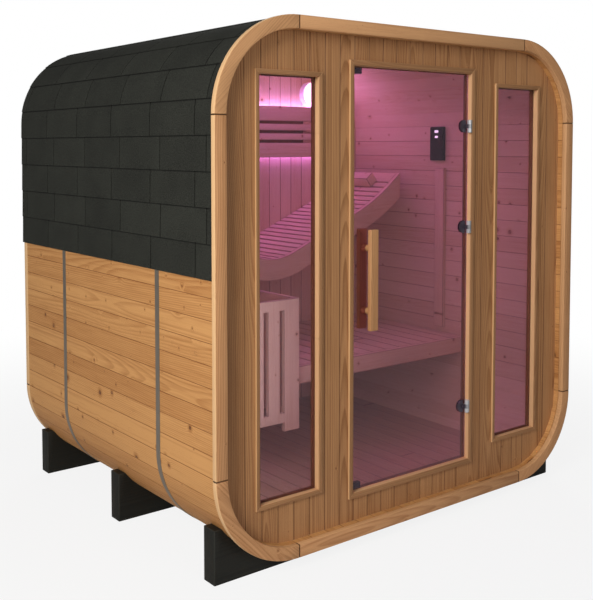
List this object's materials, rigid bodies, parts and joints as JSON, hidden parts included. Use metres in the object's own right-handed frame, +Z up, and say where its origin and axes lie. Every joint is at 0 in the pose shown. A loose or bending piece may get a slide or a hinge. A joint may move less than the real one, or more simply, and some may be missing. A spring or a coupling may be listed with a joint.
{
  "type": "barrel sauna",
  "caption": "Wooden barrel sauna of rounded square section with a shingled roof, steel bands, black cradles, a glazed front with a hinged glass door, a bench and a wave lounger.",
  "frame": {"origin": "on the ground, under the middle of the barrel", "axes": "+X to the right seen from the front, +Y from the glazed front to the back, +Z up"},
  "size_m": [2.1, 1.8, 2.152],
  "materials": {
    "stave_wood": "oiled",
    "ring_wood": "oiled",
    "front_wood": "oiled",
    "inner_wood": "planed",
    "black_timber": "stained",
    "shingle": "granular",
    "band_steel": "brushed",
    "tinted_glass": "tinted",
    "black_plastic": "satin",
    "hinge_chrome": "polished",
    "light_strip": "diffuser",
    "lamp_white": "opal"
  },
  "bodies": {
    "cabin": {"front_cradle": "black_timber", "middle_cradle": "black_timber", "rear_cradle": "black_timber", "left_wall": "stave_wood", "right_wall": "stave_wood", "roof_deck": "stave_wood", "underside": "stave_wood", "lower_left_corner": "stave_wood", "lower_right_corner": "stave_wood", "upper_left_corner": "stave_wood", "upper_right_corner": "stave_wood", "front_ring_straights": "ring_wood", "front_ring_corners": "ring_wood", "rear_ring_straights": "stave_wood", "rear_ring_corners": "stave_wood", "roof_shingles": "shingle", "steel_bands": "band_steel", "front_wall_side_panels": "front_wood", "front_wall_posts": "front_wood", "front_wall_heads": "front_wood", "front_wall_aprons": "front_wood", "window_stiles": "front_wood", "window_rails": "front_wood", "door_jambs": "front_wood", "door_frame_rails": "front_wood", "window_panes": "tinted_glass", "door_catches": "black_plastic", "hinge_leaves": "hinge_chrome", "back_wall": "inner_wood", "floor": "inner_wood", "bench_rails": "inner_wood", "bench_slats": "inner_wood", "lounger_stringers": "inner_wood", "lounger_slats": "inner_wood", "headrest": "inner_wood", "light_screen_boards": "inner_wood", "light_screen_battens": "inner_wood", "heater_guard_front": "inner_wood", "heater_guard_side": "inner_wood", "cable_cover": "inner_wood", "light_strips": "light_strip", "wall_lamp": "lamp_white", "control_panel": "black_plastic"},
    "door": {"door_glass": "tinted_glass", "hinge_clamps": "hinge_chrome", "outer_handle": "front_wood", "inner_handle": "front_wood"}
  },
  "joints": [
    {"name": "door_hinge", "type": "hinge", "parent": "cabin", "child": "door", "pos_m": [0.338, -0.858, 1.1], "axis": [0, 0, 1], "range_deg": [0, 110]}
  ]
}
